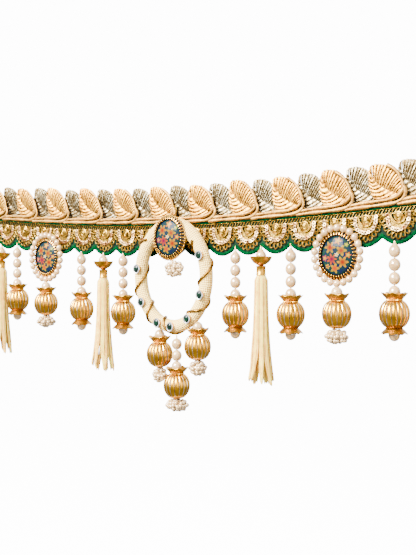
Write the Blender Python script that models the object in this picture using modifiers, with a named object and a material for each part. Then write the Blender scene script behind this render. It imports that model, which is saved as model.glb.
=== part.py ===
# Toran door hanging: a band of gota leaves and scalloped lace, with pearl, bead and tassel drops.
# The front faces -Y and +X is to the viewer's right. The origin is the middle of the top edge,
# straight above the ring. The band sags between its two ends, so every level is "below the top edge
# at that x", and sag(x) lifts it.
import math

import bmesh
import bpy
from mathutils import Vector

MM = 0.001

# Driving dimensions: the band
SCALLOP = 22.5 * MM
SCALLOP_COUNT = 19
BAND_LEFT = -206.75 * MM
BAND_RIGHT = BAND_LEFT + SCALLOP_COUNT * SCALLOP
CUSP_X = BAND_LEFT + SCALLOP / 2
SAG_RISE = 10.8 * MM
SAG_SPAN = 214.0 * MM
CLOTH = 1.2 * MM
GAP = 0.3 * MM
BACKING_DEPTH = 28.4 * MM
CUSP_DEPTH = 28.4 * MM
SCALLOP_DEPTH = 5.8 * MM
GREEN_EDGE = 2.8 * MM
STRAND_RADIUS = 1.2 * MM
STRAND_LEVELS = {"upper": -4.2 * MM, "lower": -7.0 * MM}
PIPING_LEVEL = -8.8 * MM
LACE_TOP = -9.4 * MM

# The cloth layers, each given by its back face: the backing is behind and the leaves are in front
LAYER_BACKING = 1.5 * MM
LAYER_GROUND = 0.0
LAYER_FRONT = -1.5 * MM
LACE_FRONT = LAYER_FRONT - CLOTH

# Leaves of gathered gota ribbon, gold in front and silver behind, leaning to the left
LEAF_PITCH = 36.3 * MM
LEAF_FOOT = -3.0 * MM
GOLD_FIRST_TIP = -205.2 * MM
SILVER_FIRST_TIP = -187.05 * MM
GOLD_LEAVES = 12
SILVER_LEAVES = 11
LEAF_OUTLINE_MM = (
    (1.7, 0.0),
    (-0.8, 7.0),
    (-1.7, 14.0),
    (-1.6, 20.0),
    (0.0, 23.7),
    (4.3, 24.1),
    (11.4, 22.1),
    (16.6, 17.0),
    (19.5, 11.1),
    (21.0, 5.8),
    (20.0, 0.0),
)

# Pearls and beads
PEARL = 3.9 * MM
PEARL_PITCH = 9.0 * MM
THREAD = 0.5 * MM
DROP_Y = LAYER_GROUND - CLOTH - GAP - THREAD

# Drops of four pearls and a fluted ball: x, then how far the first pearl is below the piping level
PEARL_DROPS_MM = (
    {"x": -171.8, "first": 28.4},
    {"x": -96.9, "first": 29.5},
    {"x": -52.7, "first": 29.5},
    {"x": 52.3, "first": 27.4},
    {"x": 97.6, "first": 27.8},
    {"x": 173.2, "first": 29.5},
)
PEARLS_IN_DROP = 4
END_PEARL = 3.5 * MM

# Tassels: x, then how far the pearl is below the piping level
TASSELS_MM = (
    {"x": -191.5, "pearl": 29.4},
    {"x": -73.3, "pearl": 29.8},
    {"x": 73.7, "pearl": 26.6},
    {"x": 199.0, "pearl": 29.4},
)
SKIRT_LENGTH = 77.0 * MM
OUTER_STRANDS = 9
INNER_STRANDS = 4

# Medallions: an oval picture dome in a beaded setting
SETTING_SCALE = Vector((0.92, 1.09, 1.0))
SETTING_RADIUS = 15.2 * MM
DOME_RADIUS = 12.3 * MM
MEDALLION_X = {"left": -134.0 * MM, "right": 134.0 * MM}
MEDALLION_BELOW_PIPING = 29.5 * MM
RIM_SEMI_X = 16.7 * MM
RIM_SEMI_Z = 18.9 * MM
RIM_PEARLS = 22
RIM_PEARL = 2.45 * MM

# The wrapped oval ring in the middle
RING_CENTRE = Vector((1.5 * MM, -9.6 * MM, -49.1 * MM))
RING_SEMI_X = 30.2 * MM
RING_SEMI_Z = 38.3 * MM
RING_TUBE = 5.0 * MM
CORD_RADIUS = 0.45 * MM
CORD_REACH = RING_TUBE + 0.8 * MM
CORD_STEPS = 9
CORD_CROSSINGS_DEG = (133, 192, 228, 261, 318, 359, 405)
STONE_ANGLES_DEG = (24, 172, 212, 249, 273, 304, 339)
CENTRE_MEDALLION = Vector((2.5 * MM, -14.9 * MM, -19.9 * MM))
CLUSTER_UNDER_CENTRE = Vector((6.0 * MM, -15.5 * MM, -43.4 * MM))

# Drops below the ring: x, level of each pearl, level of the ball's middle, cluster radius and height
RING_DROPS_MM = {
    "left": {"x": -11.0, "thread": -90.2, "pearls": (-94.6,), "ball": -109.4, "cluster": (6.6, 12.0)},
    "middle": {"x": 5.0, "thread": -94.0, "pearls": (-100.8, -109.6, -118.1), "ball": -132.4, "cluster": (9.6, 10.0)},
    "right": {"x": 24.0, "thread": -82.8, "pearls": (-87.3,), "ball": -101.8, "cluster": (7.9, 12.0)},
}

COLOURS = {
    "mustard_cloth": ("#D9B45F", 0.75, 0.0),
    "green_satin": ("#04703F", 0.55, 0.0),
    "gold_thread": ("#C99A52", 0.40, 0.8),
    "rose_gota": ("#E0AE7E", 0.38, 0.8),
    "silver_gota": ("#C9C3B4", 0.35, 0.8),
    "pearl": ("#F1E8DC", 0.25, 0.0),
    "gold_bead": ("#D6A24C", 0.25, 0.9),
    "picture_dome": ("#3F6E55", 0.15, 0.0),
    "cream_yarn": ("#E9DFC8", 0.80, 0.0),
    "ivory_strand": ("#F2EAD2", 0.55, 0.0),
    "green_stone": ("#0F5A3C", 0.15, 0.0),
}


def linear(hex_colour):
    """The linear colour of an sRGB hex value."""
    values = [int(hex_colour[i : i + 2], 16) / 255 for i in (1, 3, 5)]
    return [v / 12.92 if v <= 0.04045 else ((v + 0.055) / 1.055) ** 2.4 for v in values] + [1.0]


def material(name):
    colour, roughness, metallic = COLOURS[name]
    found = bpy.data.materials.new(name)
    found.use_nodes = True
    shader = found.node_tree.nodes["Principled BSDF"]
    shader.inputs["Base Color"].default_value = linear(colour)
    shader.inputs["Roughness"].default_value = roughness
    shader.inputs["Metallic"].default_value = metallic
    found.diffuse_color = linear(colour)
    return found


for old in list(bpy.data.objects):
    bpy.data.objects.remove(old)

PARTS = bpy.data.collections.new("toran_door_hanging")
CUTTERS = bpy.data.collections.new("cutters")
bpy.context.scene.collection.children.link(PARTS)
bpy.context.scene.collection.children.link(CUTTERS)
CUTTERS.hide_render = True


def sag(x):
    """How far the band at x lies above its lowest point."""
    return SAG_RISE * (x / SAG_SPAN) ** 2


def scallop_edge(x):
    """Level of the green cloth's scalloped edge."""
    phase = ((x - CUSP_X) / SCALLOP) % 1.0
    return sag(x) - CUSP_DEPTH - SCALLOP_DEPTH * 4 * phase * (1 - phase)


def place(name, data, finish, at=(0, 0, 0), collection=PARTS):
    """A named object in the part's collection, with a material of its own."""
    made = bpy.data.objects.new(name, data)
    made.location = at
    made.color = linear(COLOURS[finish][0])
    collection.objects.link(made)
    data.materials.clear()
    data.materials.append(material(finish))
    return made


def steps_along(start, stop, count):
    return [start + (stop - start) * i / count for i in range(count + 1)]


def flat_sheet(name, outline, back_y, finish, thickness=CLOTH):
    """A sheet of cloth from its (x, z) outline, its back face at back_y."""
    curve = bpy.data.curves.new(name, "CURVE")
    curve.dimensions = "2D"
    curve.fill_mode = "BOTH"
    curve.extrude = thickness / 2
    spline = curve.splines.new("POLY")
    spline.points.add(len(outline) - 1)
    for point, (x, z) in zip(spline.points, outline):
        point.co = (x, z, 0, 1)
    spline.use_cyclic_u = True
    made = place(name, curve, finish, (0, back_y - thickness / 2, 0))
    made.rotation_euler = (math.pi / 2, 0, 0)
    return made


def tube_mesh(points, radius, resolution, cyclic=False, radii=None):
    """A mesh tube with capped ends along the points."""
    curve = bpy.data.curves.new("tube", "CURVE")
    curve.dimensions = "3D"
    curve.bevel_depth = radius
    curve.bevel_resolution = resolution
    curve.use_fill_caps = not cyclic
    spline = curve.splines.new("POLY")
    spline.points.add(len(points) - 1)
    for i, point in enumerate(points):
        spline.points[i].co = (*point, 1)
        spline.points[i].radius = radii[i] if radii else 1.0
    spline.use_cyclic_u = cyclic
    holder = bpy.data.objects.new("tube", curve)
    bpy.context.scene.collection.objects.link(holder)
    mesh = evaluated_mesh(holder)
    bpy.data.objects.remove(holder)
    return mesh


def evaluated_mesh(made):
    """A welded mesh of the object with its modifiers applied, in its own space."""
    bpy.context.view_layer.update()
    graph = bpy.context.evaluated_depsgraph_get()
    mesh = bpy.data.meshes.new_from_object(made.evaluated_get(graph))
    body = bmesh.new()
    body.from_mesh(mesh)
    bmesh.ops.remove_doubles(body, verts=body.verts, dist=0.00001)
    bmesh.ops.recalc_face_normals(body, faces=body.faces)
    body.to_mesh(mesh)
    body.free()
    return mesh


def turned_mesh(profile, steps, closed=False):
    """A mesh turned round Z from a profile of (radius, z) that runs down its outer side."""
    outline = bpy.data.meshes.new("profile")
    count = len(profile)
    edges = [(i, (i + 1) % count) for i in range(count if closed else count - 1)]
    outline.from_pydata([(r, 0, z) for r, z in profile], edges, [])
    holder = bpy.data.objects.new("turned", outline)
    bpy.context.scene.collection.objects.link(holder)
    screw = holder.modifiers.new("Turn", "SCREW")
    screw.steps = screw.render_steps = steps
    screw.use_merge_vertices = True
    screw.merge_threshold = 0.00005
    mesh = evaluated_mesh(holder)
    bpy.data.objects.remove(holder)
    mesh.shade_smooth()
    return mesh


def arc(centre_z, radius, angles):
    """Profile points on a bead, from latitude angles in degrees."""
    return [(radius * math.cos(math.radians(a)), centre_z + radius * math.sin(math.radians(a))) for a in angles]


def band_sheet(name, top, bottom, back_y, finish, top_count, bottom_count):
    """A sheet that runs the length of the band, between two levels given as functions of x."""
    lower = [(x, bottom(x)) for x in steps_along(BAND_LEFT, BAND_RIGHT, bottom_count)]
    upper = [(x, top(x)) for x in steps_along(BAND_RIGHT, BAND_LEFT, top_count)]
    return flat_sheet(name, lower + upper, back_y, finish)


def leaf_ribbon(name, first_tip, count, foot, between, back_y, finish):
    """One ribbon with a leaf at every pitch; between is the level of the tape from leaf to leaf."""
    outline = [(x, sag(x) + foot) for x in steps_along(BAND_LEFT, BAND_RIGHT, 24)]
    outline.append((BAND_RIGHT, sag(BAND_RIGHT) + between))
    for index in reversed(range(count)):
        tip = first_tip + index * LEAF_PITCH
        for dx, dz in reversed(LEAF_OUTLINE_MM):
            x = tip + dx * MM
            level = LEAF_FOOT + dz * MM if dz > 0 else between
            outline.append((x, sag(x) + level))
    outline.append((BAND_LEFT, sag(BAND_LEFT) + between))
    return flat_sheet(name, outline, back_y, finish)


def make_band():
    band_sheet(
        "backing_strip",
        lambda x: sag(x),
        lambda x: sag(x) - BACKING_DEPTH,
        LAYER_BACKING,
        "mustard_cloth",
        24,
        24,
    )
    band_sheet(
        "green_ground",
        lambda x: sag(x) + LEAF_FOOT - 2 * GAP,
        scallop_edge,
        LAYER_GROUND,
        "green_satin",
        24,
        6 * SCALLOP_COUNT,
    )
    band_sheet(
        "gold_lace",
        lambda x: sag(x) + LACE_TOP,
        lambda x: scallop_edge(x) + GREEN_EDGE,
        LAYER_FRONT,
        "gold_thread",
        24,
        6 * SCALLOP_COUNT,
    )
    leaf_ribbon(
        "silver_leaves",
        SILVER_FIRST_TIP,
        SILVER_LEAVES,
        LEAF_FOOT - GAP,
        -1.5 * MM,
        LAYER_GROUND,
        "silver_gota",
    )
    leaf_ribbon(
        "gold_leaves",
        GOLD_FIRST_TIP,
        GOLD_LEAVES,
        PIPING_LEVEL + GAP,
        -5.0 * MM,
        LAYER_FRONT,
        "rose_gota",
    )
    for side, level in STRAND_LEVELS.items():
        y = LACE_FRONT - GAP - STRAND_RADIUS
        points = [(x, y, sag(x) + level) for x in steps_along(BAND_LEFT, BAND_RIGHT, 24)]
        mesh = tube_mesh(points, STRAND_RADIUS, 1)
        place(f"gota_strand_{side}", mesh, "rose_gota")


# A fluted ball between two flared caps, bored for its thread. Levels are from the ball's middle.
CAP_RADIUS = 7.5 * MM
BORE = 1.0 * MM
BALL_TOP_CAP = ((6.9, 14.1), (7.5, 13.8), (4.6, 9.2))
BALL_BELLY = ((7.6, 6.8), (10.0, 3.0), (10.0, -3.0), (7.6, -6.8))
BALL_FOOT_CAP = ((4.4, -9.2), (7.5, -12.8), (6.9, -13.2))
BALL_PLAIN_FOOT = ((4.6, -9.2),)
FLUTE_DEPTH = 0.07
FLUTES = 8


def ball_mesh(foot_cap):
    """The ball, whose belly is pressed in at every second step."""
    foot = BALL_FOOT_CAP if foot_cap else BALL_PLAIN_FOOT
    profile = [(r * MM, z * MM) for r, z in BALL_TOP_CAP + BALL_BELLY + foot]
    profile += [(BORE, -9.5 * MM), (BORE, 10.2 * MM)]
    mesh = turned_mesh(profile, 2 * FLUTES, closed=True)
    belly = {round(r * MM, 6) for r, _ in BALL_BELLY}
    for vertex in mesh.vertices:
        radius = math.hypot(vertex.co.x, vertex.co.y)
        turn = round(math.atan2(vertex.co.y, vertex.co.x) * FLUTES / math.pi)
        if turn % 2 and any(abs(radius - r) < 0.00005 for r in belly):
            vertex.co.x *= 1 - FLUTE_DEPTH
            vertex.co.y *= 1 - FLUTE_DEPTH
    return mesh


def string_profile(thread_top, pearls, tail):
    """Profile of a strung row: bare thread if it shows, its pearls, then the points of its tail."""
    profile = [(0, pearls[0] + PEARL)]
    if thread_top is not None:
        profile = [(0, thread_top), (THREAD, thread_top), (THREAD, pearls[0] + PEARL)]
    for level in pearls:
        profile += arc(level, PEARL, (50, 0, -50))
        profile.append((THREAD, level - PEARL - 0.1 * MM))
    return profile + tail


def cluster_tail(top, radius, height):
    """Profile of a bunch of seed pearls that hangs from its top level."""
    middle = top - height / 2
    points = [(radius * c, middle + height / 2 * s) for c, s in ((0.45, 0.88), (0.9, 0.45), (1, -0.1), (0.75, -0.68))]
    return [(THREAD, top)] + points + [(0, top - height)]


def lump(mesh, below, depth=0.14):
    """Bumps on the bunch of seed pearls under a level."""
    for vertex in mesh.vertices:
        if vertex.co.z < below:
            turn = math.atan2(vertex.co.y, vertex.co.x)
            swell = 1 + depth * math.cos(5 * turn + 900 * vertex.co.z)
            vertex.co.x *= swell
            vertex.co.y *= swell * 0.85
    return mesh


def make_pearl_drop(index, x, first):
    piping = sag(x) + PIPING_LEVEL
    pearls = [piping - first - i * PEARL_PITCH for i in range(PEARLS_IN_DROP)]
    ball = pearls[-1] - 14.3 * MM
    end = ball - 13.2 * MM
    tail = [(THREAD, end + END_PEARL + 0.1 * MM)] + arc(end, END_PEARL, (50, 0, -50))
    tail.append((0, end - END_PEARL))
    profile = string_profile(scallop_edge(x) + 1.4 * MM, pearls, tail)
    place(f"drop_{index}_string", turned_mesh(profile, 8), "pearl", (x, DROP_Y, 0))
    place(f"drop_{index}_ball", ball_mesh(True), "gold_bead", (x, DROP_Y, ball))


def make_medallion(name, at, rim):
    """Bezel and dome facing -Y, with their back at at.y; rim adds the ring of pearls round them."""
    bezel = [(DOME_RADIUS + GAP, 2.6), (DOME_RADIUS + 1.2 * MM, 3.2), (SETTING_RADIUS, 1.6), (SETTING_RADIUS, 0.0)]
    bezel = [(r, z * MM if z > 0.1 else 0.0) for r, z in bezel] + [(DOME_RADIUS + GAP, 0.0)]
    dome = [(0, 4.2 * MM), (6.6 * MM, 3.7 * MM), (10.6 * MM, 2.5 * MM), (DOME_RADIUS, 1.4 * MM), (DOME_RADIUS, 0.2 * MM)]
    dome.append((0, 0.2 * MM))
    for part, profile, closed, finish in (
        ("bezel", bezel, True, "gold_bead"),
        ("cabochon", dome, False, "picture_dome"),
    ):
        made = place(f"{name}_{part}", turned_mesh(profile, 24, closed), finish, at)
        made.rotation_euler = (math.pi / 2, 0, 0)
        made.scale = SETTING_SCALE
    if rim:
        pearls = oval_torus(RIM_SEMI_X, RIM_SEMI_Z, RIM_PEARL, 2 * RIM_PEARLS, 6, narrow=0.45)
        place(f"{name}_pearls", pearls, "pearl", (at.x, at.y - RIM_PEARL, at.z))


def oval_torus(semi_x, semi_z, tube, around, sides, narrow=None):
    """A tube round an oval in the XZ plane; narrow thins it between beads, at every second section."""
    bpy.ops.mesh.primitive_torus_add(major_segments=around, minor_segments=sides, major_radius=1, minor_radius=0.25)
    holder = bpy.context.active_object
    mesh = holder.data.copy()
    bpy.data.objects.remove(holder)
    for vertex in mesh.vertices:
        turn = math.atan2(vertex.co.y, vertex.co.x)
        out = (math.hypot(vertex.co.x, vertex.co.y) - 1) / 0.25
        front = vertex.co.z / 0.25
        section = round(turn / (2 * math.pi) * around)
        radius = tube * (narrow if narrow and section % 2 == 0 else 1)
        normal = Vector((math.cos(turn) / semi_x, math.sin(turn) / semi_z)).normalized()
        vertex.co.x = semi_x * math.cos(turn) + radius * out * normal.x
        vertex.co.z = semi_z * math.sin(turn) + radius * out * normal.y
        vertex.co.y = -radius * front
    mesh.shade_smooth()
    return mesh


def ring_point(turn, roll, reach):
    """A point near the ring: turn goes round the oval, roll round its tube from the front outwards."""
    normal = Vector((math.cos(turn) / RING_SEMI_X, 0, math.sin(turn) / RING_SEMI_Z)).normalized()
    line = Vector((RING_SEMI_X * math.cos(turn), 0, RING_SEMI_Z * math.sin(turn)))
    return RING_CENTRE + line + reach * (normal * math.sin(roll) - Vector((0, 1, 0)) * math.cos(roll))


def make_ring():
    place("ring", oval_torus(RING_SEMI_X, RING_SEMI_Z, RING_TUBE, 30, 8), "cream_yarn", RING_CENTRE)
    crossings = [math.radians(a) for a in CORD_CROSSINGS_DEG]
    points = []
    for start, stop in zip(crossings, crossings[1:]):
        for i in range(CORD_STEPS):
            share = i / CORD_STEPS
            points.append(ring_point(start + (stop - start) * share, 2 * math.pi * share, CORD_REACH))
    points.append(ring_point(crossings[-1], 0, CORD_REACH))
    place("ring_cord", tube_mesh(points, CORD_RADIUS, 0), "gold_thread")
    setting = [(0, 2.2 * MM), (2.4 * MM, 1.9 * MM), (3.0 * MM, 1.0 * MM), (3.0 * MM, 0), (0, 0)]
    for index, angle in enumerate(STONE_ANGLES_DEG, 1):
        at = ring_point(math.radians(angle), 0, RING_TUBE + GAP)
        made = place(f"ring_stone_{index}", turned_mesh(setting, 10), "green_stone", at)
        made.rotation_euler = (math.pi / 2, 0, 0)
        made.scale = (1.0, 1.18, 1.0)


def make_ring_drop(side, x, thread, pearls, ball, cluster):
    levels = [p * MM for p in pearls]
    top = ball * MM - 9.9 * MM
    tail = cluster_tail(top, cluster[0] * MM, cluster[1] * MM)
    mesh = turned_mesh(string_profile(thread * MM, levels, tail), 10)
    lump(mesh, top - 0.5 * MM)
    at = (x * MM, RING_CENTRE.y, 0)
    place(f"ring_string_{side}", mesh, "pearl", at)
    place(f"ring_ball_{side}", ball_mesh(False), "gold_bead", (at[0], at[1], ball * MM))


def make_medallion_drop(side, x):
    """Pearl, ball and cluster under a side medallion, on its own plane."""
    piping = sag(x) + PIPING_LEVEL
    pearl = piping - 54.9 * MM
    ball = pearl - 14.3 * MM
    top = ball - 9.9 * MM
    mesh = turned_mesh(string_profile(None, [pearl], cluster_tail(top, 9.0 * MM, 10.5 * MM)), 10)
    lump(mesh, top - 0.5 * MM)
    y = LACE_FRONT - GAP - RIM_PEARL
    place(f"medallion_{side}_string", mesh, "pearl", (x, y, 0))
    place(f"medallion_{side}_ball", ball_mesh(False), "gold_bead", (x, y, ball))


def make_centre():
    make_medallion("centre", CENTRE_MEDALLION, rim=False)
    middle = CLUSTER_UNDER_CENTRE
    profile = [(0, 6.5 * MM)] + [(9.0 * MM * c, 6.5 * MM * s) for c, s in ((0.5, 0.87), (0.9, 0.43), (1, -0.1), (0.7, -0.72))]
    profile.append((0, -6.5 * MM))
    mesh = turned_mesh(profile, 12)
    lump(mesh, 6.0 * MM, depth=0.1)
    made = place("centre_cluster", mesh, "pearl", middle)
    made.scale = (1.0, 0.55, 1.0)
    route = ((-3.7, 5.5), (-3.7, -0.2), (-5.3, -1.6), (-7.4, -3.6), (-10.2, -4.3), (-14.3, -4.6))
    mesh = tube_mesh([(0, y * MM, z * MM) for y, z in route], 0.7 * MM, 1)
    made = place("thread_tab", mesh, "gold_thread", (-0.5 * MM, 0, 0))
    made.scale = (1.9, 1.0, 1.0)


def skirt_mesh():
    """Strands that leave one bound head and spread, four-sided and clear of each other."""
    rings = ((OUTER_STRANDS, 2.9, 7.6, 0.95, 1.75), (INNER_STRANDS, 0.95, 2.6, 0.55, 1.2))
    strands = bmesh.new()
    for count, root, foot, root_size, foot_size in rings:
        for index in range(count):
            turn = 2 * math.pi * (index + 0.25) / count
            length = SKIRT_LENGTH * (1 - 0.05 * (index * 0.618 % 1))
            points = []
            radii = []
            for share in (0.0, 0.35, 1.0):
                reach = (root + (foot - root) * share**0.7) * MM
                points.append((reach * math.cos(turn), reach * math.sin(turn), -3.0 * MM - length * share))
                radii.append(root_size + (foot_size - root_size) * share)
            strand = tube_mesh(points, 1.0 * MM, 0, radii=radii)
            strands.from_mesh(strand)
    loose = bpy.data.meshes.new("strands")
    strands.to_mesh(loose)
    strands.free()
    cutter = place("skirt_strands", loose, "ivory_strand", collection=CUTTERS)
    cutter.hide_render = True
    cutter.display_type = "WIRE"
    head = [(0, 0), (3.2 * MM, 0), (4.3 * MM, -2.2 * MM), (4.5 * MM, -5.0 * MM), (0, -5.4 * MM)]
    holder = bpy.data.objects.new("skirt_head", turned_mesh(head, 12))
    bpy.context.scene.collection.objects.link(holder)
    union = holder.modifiers.new("Join", "BOOLEAN")
    union.operation = "UNION"
    union.object = cutter
    mesh = evaluated_mesh(holder)
    bpy.data.objects.remove(holder)
    return mesh


def make_tassels():
    cup = [(6.9, -0.4), (7.5, -0.7), (3.2, -6.6), (3.0, -13.2), (3.3, -13.6)]
    cup = [(r * MM, z * MM) for r, z in cup] + [(0, -13.6 * MM)]
    cup = [(0, -4.3 * MM), (2.6 * MM, -4.2 * MM)] + cup
    skirt = skirt_mesh()
    for index, row in enumerate(TASSELS_MM, 1):
        x = row["x"] * MM
        level = sag(x) + PIPING_LEVEL - row["pearl"] * MM
        thread_top = scallop_edge(x) + 1.4 * MM - level
        profile = [(0, thread_top), (THREAD, thread_top), (THREAD, PEARL)]
        profile += arc(0, PEARL, (50, 0, -50)) + [(0, -PEARL)]
        at = (x, DROP_Y, level)
        place(f"tassel_{index}_pearl", turned_mesh(profile, 8), "pearl", at)
        place(f"tassel_{index}_cup", turned_mesh(cup, 16), "gold_bead", at)
        place(f"tassel_{index}_skirt", skirt.copy(), "ivory_strand", (x, DROP_Y, level - 13.6 * MM - GAP))


make_band()
for number, drop in enumerate(PEARL_DROPS_MM, 1):
    make_pearl_drop(number, drop["x"] * MM, drop["first"] * MM)
make_tassels()
for side, x in MEDALLION_X.items():
    level = sag(x) + PIPING_LEVEL - MEDALLION_BELOW_PIPING
    make_medallion(f"medallion_{side}", Vector((x, LACE_FRONT - GAP, level)), rim=True)
    make_medallion_drop(side, x)
make_ring()
make_centre()
for side, row in RING_DROPS_MM.items():
    make_ring_drop(side, row["x"], row["thread"], row["pearls"], row["ball"], row["cluster"])
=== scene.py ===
import random
from math import cos, pi, radians, sin, sqrt, tan

import bmesh
import bpy
import numpy as np
from mathutils import Matrix, Vector


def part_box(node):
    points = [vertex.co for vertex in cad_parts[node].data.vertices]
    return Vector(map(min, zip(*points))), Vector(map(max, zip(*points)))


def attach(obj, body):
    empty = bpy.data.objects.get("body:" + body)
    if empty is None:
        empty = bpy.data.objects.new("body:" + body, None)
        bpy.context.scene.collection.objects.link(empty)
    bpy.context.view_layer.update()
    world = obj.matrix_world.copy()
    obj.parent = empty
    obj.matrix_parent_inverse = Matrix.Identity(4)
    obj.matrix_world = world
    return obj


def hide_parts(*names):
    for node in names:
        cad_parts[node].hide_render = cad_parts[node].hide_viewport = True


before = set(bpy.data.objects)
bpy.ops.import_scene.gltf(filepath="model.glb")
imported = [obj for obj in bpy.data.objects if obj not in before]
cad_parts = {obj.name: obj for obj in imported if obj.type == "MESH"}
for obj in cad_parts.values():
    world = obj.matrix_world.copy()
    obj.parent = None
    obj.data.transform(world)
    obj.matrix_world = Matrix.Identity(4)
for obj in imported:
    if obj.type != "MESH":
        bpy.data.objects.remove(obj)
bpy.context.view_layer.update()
MM = 0.001
random.seed(7)
print("frame nodes:", len(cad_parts))

# %% [markdown]
# ## The sizes that everything follows
# The band is 19 scallops long and hangs between two nails, so it sags: a level on it is counted from its
# top edge and lifted by sag(x). The band's ends come from the backing's solid.
# %% Band sizes
band_low, band_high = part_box("backing_strip")
BAND_LEFT = band_low[0]
BAND_RIGHT = band_high[0]
SCALLOPS = 19
SCALLOP = (BAND_RIGHT - BAND_LEFT) / SCALLOPS
CUSP_X = BAND_LEFT + SCALLOP / 2
SAG_RISE = 10.8 * MM
SAG_SPAN = 214 * MM
CUSP_DEPTH = 28.4 * MM
SCALLOP_DEPTH = 5.8 * MM
PIPING_LEVEL = -8.8 * MM
LACE_TOP = -9.4 * MM
GROUND_FRONT = -1.2 * MM
LACE_FRONT = -2.7 * MM
PEARL = 3.9 * MM


def sag(x):
    """How far the band at x lies above its lowest point."""
    return SAG_RISE * (x / SAG_SPAN) ** 2


def scallop_edge(x):
    """Level of the green cloth's scalloped edge."""
    phase = ((x - CUSP_X) / SCALLOP) % 1.0
    return sag(x) - CUSP_DEPTH - SCALLOP_DEPTH * 4 * phase * (1 - phase)


print(f"band {1000 * (BAND_RIGHT - BAND_LEFT):.1f} mm, scallop {1000 * SCALLOP:.2f} mm")

# %% [markdown]
# ## The camera
# It stands to the right of the hanging and looks back at it, about 32 degrees round and almost level.
# A photographer's short telephoto has little distortion, and the lens below has that angle.
# %% Place the camera
CAMERA_YAW = radians(32.3)
CAMERA_DIP = radians(1.0)
CAMERA_AT = Vector((349.2, -509.5, -39.5)) * MM
LENS_MM = 51.7

camera_data = bpy.data.cameras.new("camera")
camera_data.lens = LENS_MM
camera = bpy.data.objects.new("camera", camera_data)
bpy.context.scene.collection.objects.link(camera)
look = Vector((-sin(CAMERA_YAW), cos(CAMERA_YAW), -tan(CAMERA_DIP)))
camera.location = CAMERA_AT
camera.rotation_euler = look.to_track_quat("-Z", "Y").to_euler()
bpy.context.scene.camera = camera
print("camera", [round(v, 3) for v in CAMERA_AT])

# %% [markdown]
# ## Soft light and a pale floor
# Jewellery and foil are photographed in a light tent: a large soft light on each side, one above, and
# white all round, so that metal has something bright to mirror.
# %% Light the scene
world = bpy.data.worlds.new("tent")
bpy.context.scene.world = world
world.use_nodes = True


def soft_light(name, at, size, watts):
    """A square area light that faces the middle of the band."""
    data = bpy.data.lights.new(name, "AREA")
    data.size = size
    data.energy = watts
    lamp = bpy.data.objects.new(name, data)
    lamp.location = at
    lamp.rotation_euler = (Vector((0, 0, -0.06)) - Vector(at)).to_track_quat("-Z", "Y").to_euler()
    bpy.context.scene.collection.objects.link(lamp)


soft_light("key", (-0.4, -1.25, 0.8), 0.9, 260)
soft_light("fill", (1.4, -0.7, 0.1), 0.9, 12)
soft_light("rim", (0.2, 1.2, 0.8), 0.8, 10)
print("lights:", [lamp.name for lamp in bpy.data.lights])

# %% [markdown]
# ## Two small tools for materials
# Screen colours are written as hex values in sRGB, and a shader wants linear light, so one function
# turns them. Another adds a node, sets it and links its inputs in one line.
# %% Material tools


def linear(hex_colour):
    """The linear colour of an sRGB hex value."""
    values = [int(hex_colour[i : i + 2], 16) / 255 for i in (1, 3, 5)]
    return [v / 12.92 if v <= 0.04045 else ((v + 0.055) / 1.055) ** 2.4 for v in values] + [1.0]


def add(tree, kind, sockets=(), **settings):
    """Adds a node with its settings; each socket gets a value or another node's output."""
    made = tree.nodes.new("ShaderNode" + kind)
    for name, value in settings.items():
        setattr(made, name, value)
    for name, value in dict(sockets).items():
        if isinstance(value, bpy.types.NodeSocket):
            tree.links.new(value, made.inputs[name])
        else:
            made.inputs[name].default_value = value
    return made


def new_finish(name, **constants):
    """A material with its shader's constants set; returns it, its tree and its shader."""
    made = bpy.data.materials.new(name)
    made.use_nodes = True
    shader = made.node_tree.nodes["Principled BSDF"]
    for socket, value in constants.items():
        shader.inputs[socket.replace("_", " ")].default_value = value
    return made, made.node_tree, shader


def mottled(name, dark, light, patch_mm, grain_mm, bump_mm, **constants):
    """A finish of two close colours in soft patches, with a fine uneven surface."""
    made, tree, shader = new_finish(name, **constants)
    place = add(tree, "TexCoord")
    where = place.outputs["Object"]
    patches = add(tree, "TexNoise", {"Vector": where, "Scale": 1 / (patch_mm * MM), "Detail": 3})
    share = add(tree, "MapRange", {"Value": patches.outputs["Fac"], "From Min": 0.35, "From Max": 0.65})
    blend = {0: share.outputs["Result"], 6: linear(dark), 7: linear(light)}
    colour = add(tree, "Mix", blend, data_type="RGBA")
    grain = add(tree, "TexNoise", {"Vector": where, "Scale": 1 / (grain_mm * MM), "Detail": 2})
    bump = add(tree, "Bump", {"Height": grain.outputs["Fac"], "Distance": bump_mm * MM, "Strength": 1.0})
    tree.links.new(colour.outputs[2], shader.inputs["Base Color"])
    tree.links.new(bump.outputs["Normal"], shader.inputs["Normal"])
    return made


# %% Light tent
# The tent is white above and darker below, so a round bead mirrors a bright half and a dark half. What
# the camera sees of it directly is bare white.
TENT_ABOVE = 2.2
TENT_BELOW = 0.65
TENT_SEEN = 14.0
tent = world.node_tree
aim = add(tent, "SeparateXYZ", {"Vector": add(tent, "TexCoord").outputs["Generated"]})
fade = {"From Min": -0.1, "From Max": 0.14, "To Min": TENT_BELOW, "To Max": TENT_ABOVE}
height = add(tent, "MapRange", {"Value": aim.outputs["Z"], **fade})
seen = add(tent, "LightPath")
strength = add(tent, "Mix", {0: seen.outputs["Is Camera Ray"], 2: height.outputs["Result"], 3: TENT_SEEN})
tent.links.new(strength.outputs[0], tent.nodes["Background"].inputs["Strength"])
tent.nodes["Background"].inputs["Color"].default_value = (1, 1, 1, 1)
print("tent:", TENT_ABOVE, "above,", TENT_BELOW, "below")

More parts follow.
